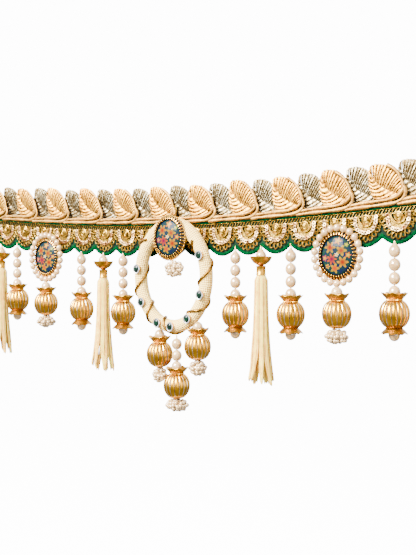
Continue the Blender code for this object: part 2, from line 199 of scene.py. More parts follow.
# %% [markdown]
# ## The metals
# Zari is a metal strip wound on a thread: many small wires at all angles, so its gloss is broken up.
# Gota is woven foil ribbon, brighter and paler. The beads are plastic with a vacuum-plated gold skin,
# nearly a mirror. A metal keeps the default IOR, and its colour is the colour of its reflections.
# %% Metal finishes
# Gilt wire wound on thread: warm gold in many small broken glints. The real winding of about 0.1 mm is
# drawn at 0.35 mm, so that it shows.
ZARI = mottled("zari_gold_thread", "#5C3C08", "#C09A3A", 2.0, 0.35, 0.08, Metallic=1.0, Roughness=0.3)
# Woven foil ribbon rolled to a strand: a soft rosy shine with no clear mirror image.
ROSE_STRAND = mottled("rose_gota_ribbon", "#8E602A", "#BA8E42", 1.8, 0.5, 0.10, Metallic=1.0, Roughness=0.52)
# Moulded plastic with vacuum-plated gold: nearly a mirror, so a bead shows a bright half and a dark half.
GILT = mottled("vacuum_plated_gold", "#AC7A0C", "#DC9E18", 6, 1.5, 0.03, Metallic=1.0, Roughness=0.25)
# The same plating on thin caps, in a deeper gold, so that a cap parts from its bead.
DEEP_GILT = mottled("plated_cap", "#9A6C14", "#CC9626", 4, 1.2, 0.05, Metallic=1.0, Roughness=0.34)
# The cap under a bead, plated: it faces the white floor, and the shade under the bead is painted into its
# gold, so it is the darkest.
PAINTED_SHADE_FOOT_GILT = mottled("plated_foot_cap_painted_shade", "#6E4808", "#9C6C12", 4, 1.2, 0.05, Metallic=1.0, Roughness=0.34)
# Pressed and gilded prongs: a ring of small bright points.
PALE_GILT = mottled("pale_gilt_prongs", "#A87214", "#E0B04C", 1.5, 0.8, 0.03, Metallic=1.0, Roughness=0.25)
# Silvered grooves in the plastic: thin cool lines between the ribs.
SILVERED = mottled("silvered_groove", "#8E8278", "#E8DCC4", 5, 1.5, 0.02, Metallic=1.0, Roughness=0.2)


def foil_with_painted_pleats(name, valley_shade, middle, crest, **constants):
    """Foil ribbon with shade painted into its pleats and a highlight painted on their crests; the UV's first
    number is the pleat's height.
    """
    made, tree, shader = new_finish(name, **constants)
    spot = add(tree, "UVMap", uv_map="run_mm")
    parts = add(tree, "SeparateXYZ", {"Vector": spot.outputs["UV"]})
    place = add(tree, "TexCoord")
    patch = add(tree, "TexNoise", {"Vector": place.outputs["Object"], "Scale": 1 / (1.9 * MM), "Detail": 4})
    # Patches of painted shade, laid over the pleat height.
    uneven = add(tree, "Math", {0: patch.outputs["Fac"], 1: 2.4, 2: -1.25}, operation="MULTIPLY_ADD")
    total = add(tree, "Math", {0: parts.outputs["X"], 1: uneven.outputs[0]}, operation="ADD")
    low = add(tree, "MapRange", {"Value": total.outputs[0], "From Min": 0.1, "From Max": 0.8})
    high = add(tree, "MapRange", {"Value": total.outputs[0], "From Min": 0.7, "From Max": 1.1})
    blend = {0: low.outputs["Result"], 6: linear(valley_shade), 7: linear(middle)}
    deep = add(tree, "Mix", blend, data_type="RGBA")
    blend = {0: high.outputs["Result"], 6: deep.outputs[2], 7: linear(crest)}
    both = add(tree, "Mix", blend, data_type="RGBA")
    grain = add(tree, "TexNoise", {"Vector": place.outputs["Object"], "Scale": 1 / (0.45 * MM), "Detail": 2})
    bump = add(tree, "Bump", {"Height": grain.outputs["Fac"], "Distance": 0.14 * MM, "Strength": 1.0})
    tree.links.new(both.outputs[2], shader.inputs["Base Color"])
    tree.links.new(bump.outputs["Normal"], shader.inputs["Normal"])
    return made


# Gathered foil ribbon, in rose gold and in silver: a painted highlight on each crest and painted brown
# shade in each valley, line by line, broken up by patches of painted shade. The ribbon's weave of about
# 0.2 mm is drawn as a grain of 0.45 mm, so that it shows.
ROSE_GOTA = foil_with_painted_pleats("rose_gota_painted_pleat_shade", "#4E2C08", "#CC8E2C", "#E8B244", Metallic=1.0, Roughness=0.45)
SILVER_GOTA = foil_with_painted_pleats("silver_gota_painted_pleat_shade", "#3C2C14", "#6C5A38", "#B4A684", Metallic=1.0, Roughness=0.36)
print("metals:", [finish.name for finish in bpy.data.materials])

# %% [markdown]
# ## Pearls, glass and cloth
# The pearls are moulded plastic in a nacre lacquer: a clear coat over a soft, slightly warm body. The
# stones are cut glass in a silver rim. Satin threads float, but here they lie in the lace's shade, which
# is painted into the green, so it is dark and has little gloss.
# %% Pearl, glass and cloth finishes
# Acrylic bead in nacre lacquer: a warm body under a thick gloss, so a small sharp light on a soft ball.
PEARL_LACQUER = mottled(
    "nacre_lacquered_pearl", "#AC8248", "#C49E66", 5, 1.5, 0.02,
    Roughness=0.22, Specular_IOR_Level=0.7, Coat_Weight=1.0, Coat_IOR=1.9, Coat_Roughness=0.09,
    Subsurface_Weight=0.1, Subsurface_Scale=0.002,
)
# The same lacquer on tiny beads, which looks a little whiter in a bunch.
SEED_PEARL = mottled(
    "seed_pearl", "#A88450", "#C6A46E", 2.5, 1.0, 0.02,
    Roughness=0.25, Coat_Weight=1.0, Coat_IOR=1.8, Coat_Roughness=0.1,
)
# Satin with the lace's shade painted in: almost black green. Its threads of 0.1 mm are drawn at 0.4 mm.
SHADE_PAINTED_SATIN = mottled(
    "green_satin_painted_shade", "#000C05", "#00240F", 2.2, 0.4, 0.15, Roughness=0.7, Specular_IOR_Level=0.1
)
# Dense satin stitch over the edge: a clear emerald line with fine ridges.
GREEN_SATIN = mottled(
    "embroidered_green_satin", "#001A08", "#003417", 1.6, 0.4, 0.15, Roughness=0.7, Specular_IOR_Level=0.0
)
# Plain woven cotton: matt mustard, seen from behind alone.
MUSTARD_CLOTH = mottled(
    "mustard_backing_cloth", "#A06C18", "#B4802A", 14, 0.6, 0.12, Roughness=0.75, Specular_IOR_Level=0.15
)
# Cut and polished glass: a dark green drop with one bright glint.
GREEN_GLASS = mottled(
    "cut_green_glass", "#000C06", "#002012", 2, 1.0, 0.0,
    Roughness=0.12, Specular_IOR_Level=0.3, Coat_Weight=0.1,
)
# Twisted cotton thread: a matt cream line between the pearls.
IVORY_THREAD = mottled(
    "ivory_thread", "#CFA24C", "#F0C878", 3, 0.5, 0.05, Roughness=0.5, Specular_IOR_Level=0.3
)
# Painted shade inside a setting and under its prongs: a near-black line that makes the prongs stand out.
PAINTED_SETTING_SHADE = mottled("setting_wall_painted_shade", "#0C0806", "#2E1E10", 2, 1.0, 0.02, Roughness=0.4, Metallic=0.5)

print("finishes so far:", len(bpy.data.materials))

# %% [markdown]
# ## Skins made from rows of points
# Every piece here is a skin over rows of points: a bead, a thread, a leaf. Numpy places the points, and
# a face is four corners, or three where the last is -1. Each corner carries a UV in millimetres, so a
# woven pattern can follow a thread round a bend.
# %% Shape tools


def skin(rows, round_row=False, round_all=False, finish=0, uv_rows=None, uv_columns=None):
    """A skin over a grid of points; round_row closes each row, round_all joins last row to first."""
    rows = np.asarray(rows, float)
    count, wide = rows.shape[:2]
    if uv_rows is None:
        uv_rows = np.arange(count + 1, dtype=float)
    if uv_columns is None:
        uv_columns = np.arange(wide + 1, dtype=float)
    i, j = np.meshgrid(
        np.arange(count if round_all else count - 1),
        np.arange(wide if round_row else wide - 1),
        indexing="ij",
    )
    i, j = i.ravel(), j.ravel()
    corners = ((i, j), (i + 1, j), (i + 1, j + 1), (i, j + 1))
    faces = np.stack([(a % count) * wide + b % wide for a, b in corners], axis=1)
    uvs = np.stack([np.stack([uv_rows[a], uv_columns[b]], axis=1) for a, b in corners], axis=1)
    return {"points": rows.reshape(-1, 3), "faces": faces, "uvs": uvs, "finish": np.full(len(faces), finish)}


def joined(shapes):
    """Several shapes as one."""
    starts = np.cumsum([0] + [len(s["points"]) for s in shapes])
    faces = [np.where(s["faces"] < 0, -1, s["faces"] + start) for s, start in zip(shapes, starts)]
    whole = {key: np.concatenate([s[key] for s in shapes]) for key in ("points", "uvs", "finish")}
    whole["faces"] = np.concatenate(faces)
    return whole


def moved(shape, at=(0, 0, 0), turn=None, scale=(1, 1, 1)):
    """The shape scaled, turned by a matrix and moved."""
    points = shape["points"] * np.asarray(scale, float)
    if turn is not None:
        points = points @ np.array(turn.to_3x3()).T
    return {**shape, "points": points + np.asarray(at, float)}


def full_turn(count):
    """Even angles once round, without the last."""
    return np.linspace(0, 2 * pi, count, endpoint=False)


def turned(profile, around=24, finish=0):
    """A shape turned round Z from (radius, level) points that run down its outer side."""
    turns = full_turn(around)
    rows = [[(r * cos(t), r * sin(t), z) for t in turns] for r, z in profile]
    return skin(rows, round_row=True, finish=finish)


def turned_mm(profile, around=24, finish=0):
    """The same from a profile in millimetres."""
    return turned([(r * MM, z * MM) for r, z in profile], around, finish)


def bead(radius, around=16, rings=10, finish=0):
    """A round bead about the origin."""
    angles = np.linspace(pi / 2, -pi / 2, rings + 1)
    return turned([(radius * cos(a), radius * sin(a)) for a in angles], around, finish)


def tube(path, radius, sides=6, closed=False, flat=1.0, finish=0):
    """A thread along the path; flat squeezes it in the direction square to the band."""
    path = np.asarray(path, float)
    count = len(path)
    size = np.broadcast_to(np.asarray(radius, float), (count,))
    ahead = np.roll(path, -1, 0) - np.roll(path, 1, 0) if closed else np.gradient(path, axis=0)
    ahead = ahead / np.linalg.norm(ahead, axis=1)[:, None]
    side = np.empty_like(path)
    start = np.cross(ahead[0], (0.0, 1.0, 0.0))
    if np.linalg.norm(start) < 0.1:
        start = np.cross(ahead[0], (1.0, 0.0, 0.0))
    side[0] = start / np.linalg.norm(start)
    for i in range(1, count):
        step = side[i - 1] - ahead[i] * side[i - 1].dot(ahead[i])
        side[i] = step / np.linalg.norm(step)
    up = np.cross(ahead, side) * flat
    turns = full_turn(sides)
    rows = path[:, None] + size[:, None, None] * (
        np.cos(turns)[None, :, None] * side[:, None] + np.sin(turns)[None, :, None] * up[:, None]
    )
    if not closed:
        tips = [np.repeat(end[:, None], sides, 1) for end in (path[:1], path[-1:])]
        rows = np.concatenate([tips[0], rows, tips[1]])
        path = np.concatenate([path[:1], path, path[-1:]])
    steps = np.linalg.norm(np.roll(path, -1, 0) - path, axis=1)
    run = np.concatenate([[0.0], np.cumsum(steps)]) / MM
    ring = np.arange(sides + 1) * 2 * pi * size.mean() / sides / MM
    return skin(rows, True, closed, finish, run, ring)


def smooth(points, count):
    """A smooth line through the points, at even steps."""
    points = np.asarray(points, float)
    ends = np.concatenate([2 * points[:1] - points[1:2], points, 2 * points[-1:] - points[-2:-1]])
    fine = []
    for a, b, c, d in zip(ends, ends[1:], ends[2:], ends[3:]):
        for t in np.linspace(0, 1, 12, endpoint=False):
            bend = 2 * b + (c - a) * t + (2 * a - 5 * b + 4 * c - d) * t**2 + (3 * b - a - 3 * c + d) * t**3
            fine.append(0.5 * bend)
    fine = np.array(fine + [points[-1]])
    run = np.concatenate([[0], np.cumsum(np.linalg.norm(np.diff(fine, axis=0), axis=1))])
    at = np.linspace(0, run[-1], count)
    return np.stack([np.interp(at, run, fine[:, k]) for k in range(fine.shape[1])], axis=1)


def border(grid):
    """The points round a grid, in order."""
    return np.concatenate([grid[0], grid[1:, -1], grid[-1, -2::-1], grid[-2:0:-1, 0]])


def thin_shell(front, back, **uvs):
    """A closed thin sheet between two grids of one size."""
    edge = skin(np.stack([border(front), border(back)]), round_row=True)
    return [skin(front, **uvs), skin(back, **uvs), edge]


# %% [markdown]
# ## From a shape to a piece
# A piece is a mesh object that rides on the hanging's one body and hides the solid it stands for. Points
# that fall together are welded, and edges sharper than 50 degrees stay crisp.
# %% Piece maker
counts = {}


def piece(name, shapes, finishes, stands_for=(), crisp=50):
    """Makes the object from its shapes, with its finishes, in place of the named solids."""
    shape = joined(shapes)
    faces = [[v for v in f if v >= 0] for f in shape["faces"].tolist()]
    mesh = bpy.data.meshes.new(name)
    mesh.from_pydata(shape["points"].tolist(), [], faces)
    layer = mesh.uv_layers.new(name="run_mm")
    kept = shape["uvs"][shape["faces"] >= 0]
    layer.data.foreach_set("uv", kept.ravel())
    mesh.polygons.foreach_set("material_index", shape["finish"])
    for finish in finishes:
        mesh.materials.append(finish)
    body = bmesh.new()
    body.from_mesh(mesh)
    bmesh.ops.remove_doubles(body, verts=body.verts, dist=0.001 * MM)
    bmesh.ops.recalc_face_normals(body, faces=body.faces)
    body.to_mesh(mesh)
    body.free()
    mesh.shade_smooth()
    mesh.set_sharp_from_angle(angle=radians(crisp))
    made = bpy.data.objects.new(name, mesh)
    bpy.context.scene.collection.objects.link(made)
    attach(made, "root")
    if stands_for:
        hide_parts(*([stands_for] if isinstance(stands_for, str) else stands_for))
    counts[name] = sum(len(p.vertices) - 2 for p in mesh.polygons)
    print(f"{name}: {counts[name]} triangles")
    return made


# %% [markdown]
# ## The backing and the green ground
# A strip of mustard cloth carries everything. The green satin ground is sewn to it and ends in a row of
# scallops, whose edge is bound with a thick satin stitch. The cloth is a thin slab with a little ripple.
# %% Backing and ground
RIPPLE_RATE = 0.31  # radians a millimetre, so a wave is about 20 mm long


def cloth_band(top, bottom, front, back, columns, rows, ripple=0.0):
    """A closed thin sheet along the band, between two levels given as functions of x."""
    xs = np.linspace(BAND_LEFT, BAND_RIGHT, columns)
    sides = []
    for y in (front, back):
        grid = []
        for k in range(rows):
            share = k / (rows - 1)
            lift = [ripple * sin(x / MM * RIPPLE_RATE + 1.7 * share) * share for x in xs]
            grid.append([(x, y + w, top(x) * (1 - share) + bottom(x) * share) for x, w in zip(xs, lift)])
        sides.append(np.array(grid))
    return thin_shell(*sides)


BACKING_DEPTH = 28.4 * MM
backing = piece(
    "backing_cloth",
    cloth_band(sag, lambda x: sag(x) - BACKING_DEPTH, 0.4 * MM, 1.4 * MM, 160, 12, 0.15 * MM),
    [MUSTARD_CLOTH],
    "backing_strip",
)
STITCH_MM = 3.2
STITCH_STEP_MM = STITCH_MM + 1.3
STITCH_RISE = ((0, 0), (0.3, 0.28), (STITCH_MM - 0.3, 0.28), (STITCH_MM, 0))
stitches = []
for level in (-2.2 * MM, -25.6 * MM):
    for k in range(int((BAND_RIGHT - BAND_LEFT) / MM / STITCH_STEP_MM)):
        x = BAND_LEFT + (1.0 + k * STITCH_STEP_MM) * MM
        line = [(x + dx * MM, (1.3 + dy) * MM, sag(x + dx * MM) + level) for dx, dy in STITCH_RISE]
        stitches.append(tube(line, 0.22 * MM, 5))
backing_stitches = piece("backing_stitches", stitches, [IVORY_THREAD])
# The whole ground takes the satin with the lace's shade painted in.
ground = piece(
    "green_satin_ground",
    cloth_band(lambda x: sag(x) - 3.6 * MM, scallop_edge, GROUND_FRONT, -0.3 * MM, 24 * SCALLOPS + 1, 8),
    [SHADE_PAINTED_SATIN],
    "green_ground",
)
EDGE_ROPE = 1.35 * MM
edge_x = np.linspace(BAND_LEFT, BAND_RIGHT, 40 * SCALLOPS + 1)
edge_path = [(x, -1.1 * MM, scallop_edge(x) + EDGE_ROPE * 0.9) for x in edge_x]
edge_size = [EDGE_ROPE * (1 + 0.07 * sin(x / MM * 2 * pi / 1.6)) for x in edge_x]
green_edge = piece("satin_stitch_edge", [tube(edge_path, edge_size, 8)], [GREEN_SATIN])
piping_x = np.linspace(BAND_LEFT, BAND_RIGHT, 120)
piping_path = [(x, -2.2 * MM, sag(x) + PIPING_LEVEL - 0.55 * MM) for x in piping_x]
piping = piece("green_piping", [tube(piping_path, 0.75 * MM, 6)], [GREEN_SATIN])

# %% [markdown]
# ## The gold lace
# Its header is a narrow braid of slanted stitches between two cords. Under it each scallop has a gold
# bud in a horseshoe of sequins, and a fringe of small wire loops round the edge. Bought lace is machine
# made on a net, so the net is one thin sheet and the wires are threads laid over it.
# %% Lace header
HEADER_TOP = LACE_TOP - 0.5 * MM
HEADER_FOOT = -13.4 * MM
SLANT_PITCH = 2.3 * MM
SLANT_REACH = 0.95 * MM
LACE_LIE = -1.9 * MM
long_x = np.linspace(BAND_LEFT, BAND_RIGHT, 130)
header = []
for level in (HEADER_TOP, HEADER_FOOT):
    header.append(tube([(x, LACE_LIE - 0.1 * MM, sag(x) + level) for x in long_x], 0.42 * MM, 6))
for k in range(int((BAND_RIGHT - BAND_LEFT) / SLANT_PITCH) - 1):
    x = BAND_LEFT + (k + 0.6) * SLANT_PITCH
    levels = ((SLANT_REACH, HEADER_TOP), (0, (HEADER_TOP + HEADER_FOOT) / 2), (-SLANT_REACH, HEADER_FOOT))
    slant = [(x + dx, LACE_LIE + 0.1 * MM, sag(x) + z) for dx, z in levels]
    header.append(tube(smooth(slant, 5), 0.36 * MM, 5))
lace_header = piece("lace_header", header, [ZARI])

# %% Lace net behind the sequins
NET_OUT = Vector((8.4, 12.2)) * MM
NET_IN = Vector((5.2, 6.8)) * MM
NET_BACK = np.array((0, 0.35 * MM, 0))
net = []
for k in range(SCALLOPS + 1):
    middle = CUSP_X + (k - 0.5) * SCALLOP
    rows = []
    for share in np.linspace(0, 1, 5):
        reach = NET_IN.lerp(NET_OUT, share)
        row = []
        for turn in np.linspace(pi, 2 * pi, 33):
            x = middle + reach.x * cos(turn)
            x = min(max(x, BAND_LEFT), BAND_RIGHT)
            row.append((x, LACE_LIE + 0.2 * MM, sag(x) + HEADER_FOOT + reach.y * sin(turn)))
        rows.append(row)
    net += thin_shell(np.array(rows), np.array(rows) + NET_BACK)
for level in (HEADER_TOP, HEADER_FOOT):
    tape = [[(x, LACE_LIE + 0.2 * MM, sag(x) + level + dz * MM) for x in long_x] for dz in (0.4, -0.4)]
    net += thin_shell(np.array(tape), np.array(tape) + NET_BACK)
lace_net = piece("lace_net", net, [ZARI], "gold_lace")

# %% Lace buds, loops and threads
LOOPS = 11
LOOP_ROOTS = (8.3, 13.4)  # half width and depth of the oval that the loops stand on, in millimetres
LOOP_HALF = (1.9, 1.35)  # half length and half width of a loop
BUD = bead(3.3 * MM, 20, 10)
COIL_TURN = 7 * pi
ZIGZAG = 29
buds = []
loops = []
for k in range(SCALLOPS + 1):
    middle = CUSP_X + (k - 0.5) * SCALLOP
    half = k in (0, SCALLOPS)
    if half:
        middle = BAND_LEFT + 0.2 * MM if k == 0 else BAND_RIGHT - 0.2 * MM
    top = sag(middle) + HEADER_FOOT
    if not half:
        bud_at = (middle + 0.4 * MM, LACE_FRONT + 0.3 * MM, top - 2.6 * MM)
        buds.append(moved(BUD, bud_at, None, (1, 0.42, 1.05)))
        coil = []
        for turn in np.linspace(0, COIL_TURN, 70):
            reach = 0.3 + 2.9 * turn / COIL_TURN
            rise = 1.35 * sqrt(max(0.0, 1 - (reach / 3.45) ** 2))
            across, up = 0.4 + reach * cos(turn), 1.05 * reach * sin(turn) - 2.6
            coil.append((middle + across * MM, LACE_FRONT - (rise - 0.35) * MM, top + up * MM))
        buds.append(tube(coil, 0.34 * MM, 5))
        for reach, size in ((4.9, 0.42), (5.6, 0.5)):
            ring = []
            for turn in np.linspace(pi, 2 * pi, 17):
                x = middle + reach * MM * cos(turn)
                ring.append((x, LACE_FRONT + 0.1 * MM, top + (reach + 1.4) * MM * sin(turn)))
            buds.append(tube(ring, size * MM, 6))
    for n in range(LOOPS):
        turn = pi + pi * (n + 0.5) / LOOPS
        out = Vector((cos(turn), 0, sin(turn)))
        root = Vector((middle + LOOP_ROOTS[0] * MM * out.x, 0, top + LOOP_ROOTS[1] * MM * out.z))
        if not BAND_LEFT + 1.5 * MM < root.x < BAND_RIGHT - 1.5 * MM:
            continue
        normal = Vector((out.x / LOOP_ROOTS[0], 0, out.z / LOOP_ROOTS[1])).normalized()
        across = Vector((-normal.z, 0, normal.x))
        ring = []
        for t in full_turn(12):
            point = root + normal * (LOOP_HALF[0] - LOOP_HALF[0] * cos(t)) * MM
            point += across * LOOP_HALF[1] * MM * sin(t)
            ring.append((point.x, LACE_LIE - 0.4 * MM * sin(t / 2), point.z + sag(point.x) - sag(middle)))
        loops.append(tube(ring, 0.42 * MM, 5, closed=True))
for k in range(SCALLOPS):
    middle = CUSP_X + (k + 0.5) * SCALLOP
    if middle > BAND_RIGHT - 2 * MM:
        continue
    line = []
    for n in range(ZIGZAG):
        turn = pi * (1 + (n + 0.5) / ZIGZAG)
        reach = Vector((7.9, 12.2)) if n % 2 else Vector((9.6, 14.4))
        x = middle + reach.x * MM * cos(turn)
        line.append((x, LACE_LIE, sag(x) + HEADER_FOOT + reach.y * MM * sin(turn)))
    buds.append(tube(line, 0.25 * MM, 5))
lace_buds = piece("lace_buds", buds, [ZARI])
threads = []
for k in range(SCALLOPS):
    for dx in (-1.25, 1.25):
        x = CUSP_X + k * SCALLOP + dx * MM
        line = [(x, LACE_LIE, sag(x) + HEADER_FOOT), (x, LACE_LIE, sag(x) + HEADER_FOOT - 9.0 * MM)]
        threads.append(tube(smooth(line, 6), 0.35 * MM, 5))
lace_loops = piece("lace_loops", loops + threads, [ZARI])

# %% [markdown]
# ## The sequin horseshoes
# A sequin tape bends round each bud. A sequin is a thin disc of foil with a hole, and each one tilts its
# own way, so a row of them sparkles unevenly: some mirror the light, and some carry a warm reflection
# painted into their colour.
# %% Sequins
# Pearl foil stamped into discs: pale warm sparks, each a little different.
SEQUIN = mottled("pearl_foil_sequin", "#9C7440", "#F2D69A", 7, 1.2, 0.03, Metallic=1.0, Roughness=0.38)
# The same foil with a warm reflection painted into its colour: copper brown discs among the pale ones.
WARM_REFLECTION_SEQUIN = mottled("sequin_painted_warm_reflection", "#4A2810", "#A06A34", 5, 1.2, 0.03, Metallic=1.0, Roughness=0.42)
# Its rolled rim, which turns away from the light: painted shade, a darker ring that parts a disc from the
# next.
SEQUIN_RIM_SHADE = mottled("sequin_rim_painted_shade", "#5E3C1C", "#C89A5E", 3, 0.8, 0.03, Metallic=1.0, Roughness=0.4)
# Cotton thread in the hole: a dark dot in the middle of each disc.
SEQUIN_HOLE = mottled(
    "sequin_hole_thread", "#1E0E04", "#3E2208", 2, 0.6, 0.05, Roughness=0.7, Specular_IOR_Level=0.1
)
SEQUINS = 15
HORSESHOE = ((-7.3, -1.0), (-7.0, -5.0), (-5.0, -9.2), (0, -11.2), (5.0, -9.2), (7.0, -5.0), (7.3, -1.0))
TILT = 0.25
disc = turned_mm(((0.4, 0.12), (0.5, 0.24), (1.05, 0.30)), 14)
disc_rim = turned_mm(((1.05, 0.30), (1.35, 0.12), (1.35, 0.0), (0, 0)), 14, finish=2)
hole = moved(bead(0.55 * MM, 8, 5, finish=1), (0, 0, 0.14 * MM), None, (1, 1, 0.5))
sequin = moved(joined([disc, disc_rim, hole]), scale=(1.14, 1.14, 1.14))
warm_reflection_sequin = {**sequin, "finish": np.where(sequin["finish"] == 0, 3, sequin["finish"])}
sequins = []
for k in range(SCALLOPS):
    middle = CUSP_X + (k + 0.5) * SCALLOP
    if middle > BAND_RIGHT:
        continue
    for px, pz in smooth(HORSESHOE, SEQUINS):
        x = middle + px * MM
        nod, swing = random.uniform(-TILT, TILT), random.uniform(-TILT, TILT)
        tilt = Matrix.Rotation(nod, 4, "X") @ Matrix.Rotation(swing, 4, "Z")
        facing = tilt @ Matrix.Rotation(pi / 2, 4, "X")
        at = (x, LACE_FRONT + 0.15 * MM, sag(x) + HEADER_FOOT + pz * MM)
        # Discs on the left, low in each horseshoe, mostly get the painted warm reflection; elsewhere a few do.
        rose = random.random() < (0.7 if x < -60 * MM and pz < -4 else 0.15)
        sequins.append(moved(warm_reflection_sequin if rose else sequin, at, facing))
sequin_finishes = [SEQUIN, SEQUIN_HOLE, SEQUIN_RIM_SHADE, WARM_REFLECTION_SEQUIN]
sequin_tape = piece("sequin_horseshoes", sequins, sequin_finishes)

# %% [markdown]
# ## The gota leaves
# A leaf is one foil ribbon gathered into pleats that run from a midrib to the edge. Rose-gold leaves
# stand in front of silver ones and all lean left. Each side of a leaf is a grid: across it the pleats
# rise and fall, and along them the surface swells.
# %% Leaf maker
LEAF_PITCH = 36.3 * MM
GOLD_FIRST = -205.2 * MM
SILVER_FIRST = -187.05 * MM
LEAF_FOOT = -3.0
FOIL_BACK = np.array((0, 0.3 * MM, 0))
LEFT_EDGE = (
    (0, 23.9), (-1.5, 20.8), (-1.9, 15), (-1.6, 9), (-0.2, 4), (1.8, 0.3), (7, -1.2), (13, -1), (17.5, 0.2),
)
RIGHT_EDGE = ((0, 23.9), (4.5, 24.3), (11.4, 22.2), (16.7, 17), (19.7, 11.1), (20.8, 5.8), (19.5, 1.5))
MIDRIB = ((0, 23.9), (0.6, 19), (1.8, 14.5), (4.6, 10), (9.5, 6.2), (15, 3.4), (19, 1.2))
# Edge, number of pleats, where they leave the midrib (first, rate), and how far they bow up.
LEAF_SIDES = ((LEFT_EDGE, 12, 0.06, 1.3, -1.7), (RIGHT_EDGE, 15, 0.28, 0.72, 0.5))


def pleats(count, rng):
    """Shares along an edge where the pleats' skin is sampled, and how high it stands there."""
    wide = [rng.uniform(0.7, 1.3) for _ in range(count)]
    ends = np.concatenate([[0], np.cumsum(wide)]) / sum(wide)
    shares, heights = [], []
    for a, b in zip(ends, ends[1:]):
        tall = rng.uniform(0.65, 1.15)
        for part, rise in ((0.0, 0.0), (0.2, 0.75), (0.5, 1.0), (0.8, 0.75)):
            shares.append(a + (b - a) * part)
            heights.append(rise * tall)
    return shares + [1.0], heights + [0.0]


def leaf(tip, base_y, pleat_mm, swell_mm, rng):
    """One gathered leaf, as a closed thin shell on each side of its midrib."""
    lean = rng.uniform(-1.2, 1.2)
    tall = rng.uniform(0.94, 1.0)
    shapes = []
    mid = smooth(MIDRIB, 200)
    for edge, count, first, rate, bow in LEAF_SIDES:
        rim = smooth(edge, 200)
        rows = []
        shares, crests = pleats(count, rng)
        for share, crest in zip(shares, crests):
            root = mid[min(199, int(199 * (first + rate * share)))]
            end = rim[int(199 * share)]
            row = []
            for v in np.linspace(0, 1, 9):
                px, pz = root * (1 - v) + end * v
                pz += bow * sin(pi * v)
                out = 1 + 0.045 * (crest - 0.4) * v
                px, pz = 9 + (px - 9) * out, 10 + (pz - 10) * out
                height = pleat_mm * crest * (0.3 + 0.7 * sin(pi * (0.1 + 0.78 * v)))
                height += swell_mm * sin(pi * (0.12 + 0.76 * v)) ** 0.8
                x = tip + (px + lean * pz / 24) * MM
                row.append((x, base_y - height * MM, sag(x) + (LEAF_FOOT + pz * tall) * MM))
            rows.append(row)
        front = np.array(rows)
        # The pleat heights ride in the UV, where the foil's finish paints shade low and a highlight high.
        shapes += thin_shell(front, front + FOIL_BACK, uv_rows=np.array(crests + [0.0]))
    return shapes


GOLD_LEAVES = 12
SILVER_LEAVES = 11
rng = random.Random(3)
silver = []
for k in range(SILVER_LEAVES):
    silver += leaf(SILVER_FIRST + k * LEAF_PITCH, -0.6 * MM, 0.5, 0.5, rng)
silver_leaves = piece("silver_gota_leaves", silver, [SILVER_GOTA], "silver_leaves", crisp=60)
gold = []
for k in range(GOLD_LEAVES):
    gold += leaf(GOLD_FIRST + k * LEAF_PITCH, -2.3 * MM, 0.65, 1.0, rng)
gold_leaves = piece("rose_gota_leaves", gold, [ROSE_GOTA], "gold_leaves", crisp=60)

# %% [markdown]
# ## The ribbon strands under the leaves
# The same ribbon runs on from leaf to leaf: it comes out from under the last curl, lies along the band,
# then turns up and closes the right side of the next leaf. Two strands lie side by side.
# %% Ribbon strands
UPPER_RUN = (
    (-19, -6.6), (-14, -5.4), (-6, -4.8), (4, -4.5), (12, -4.2), (17.8, -2.5),
    (21.2, 0.6), (21.3, 4.6), (19.6, 9.5), (16.4, 14.4), (10.8, 18.6),
)
LOWER_RUN = (
    (-18.5, -7.9), (-10, -7.5), (0, -7.4), (9, -7.3), (16, -6.9),
    (20.6, -5.2), (22.9, -2.4), (23, 1), (21.6, 3.6),
)
STRAND_STEPS = 40


def strand(run, wide_mm, deep, y):
    """One ribbon run for every gold leaf, with a soft twist in its width."""
    made = []
    for k in range(GOLD_LEAVES):
        tip = GOLD_FIRST + k * LEAF_PITCH
        line = []
        for i, (px, pz) in enumerate(smooth(run, STRAND_STEPS)):
            x = tip + px * MM
            ahead = y - 0.5 * MM * i / (STRAND_STEPS - 1)
            line.append((min(max(x, BAND_LEFT), BAND_RIGHT), ahead, sag(x) + pz * MM))
        size = [wide_mm * MM * (0.82 + 0.18 * sin(i * 0.45 + k)) for i in range(STRAND_STEPS)]
        made.append(tube(line, size, 8, flat=deep))
    return made


for name, run, y_mm, solid in (
    ("gota_strand_top", UPPER_RUN, -4.0, "gota_strand_upper"),
    ("gota_strand_foot", LOWER_RUN, -3.9, "gota_strand_lower"),
):
    piece(name, strand(run, 1.45, 0.65, y_mm * MM), [ROSE_STRAND], solid)

# %% [markdown]
# ## The fluted beads
# A plated plastic melon bead has 16 round ribs with a silvery groove between them, and a flared petal
# cap on top. On the plain drops a second cap is turned down below it.
# %% Fluted bead maker
FLUTES = 16
RIB_STEPS = ((0.0, 0.0), (0.07, 0.35), (0.20, 0.80), (0.38, 1.0), (0.62, 1.0), (0.80, 0.80), (0.93, 0.35))


def melon():
    """The ribbed body, about its own middle, with its grooves in the second finish."""
    around = FLUTES * len(RIB_STEPS)
    rows = []
    for level in np.linspace(9.3, -9.3, 19):
        shell = 4.5 + 5.6 * max(0.0, 1 - abs(level / 9.35) ** 2.05) ** 0.66
        row = []
        for k in range(around):
            share, rib = RIB_STEPS[k % len(RIB_STEPS)]
            turn = 2 * pi * (k // len(RIB_STEPS) + share) / FLUTES
            radius = shell * (0.92 + 0.08 * rib)
            row.append((radius * cos(turn) * MM, radius * sin(turn) * MM, level * MM))
        rows.append(row)
    body = skin(rows, round_row=True)
    column = np.tile(np.arange(around), 18) % len(RIB_STEPS)
    body["finish"] = np.where((column == 0) | (column == len(RIB_STEPS) - 1), 1, 0)
    return body


CAP_PROFILE = (
    (4.6, 8.6), (5.4, 9.1), (5.2, 9.7), (5.9, 10.5), (7.3, 11.9),
    (8.5, 13.5), (8.3, 13.8), (6.8, 12.3), (4.8, 10.9), (1.0, 10.4),
)
CAP_POINTS = 8


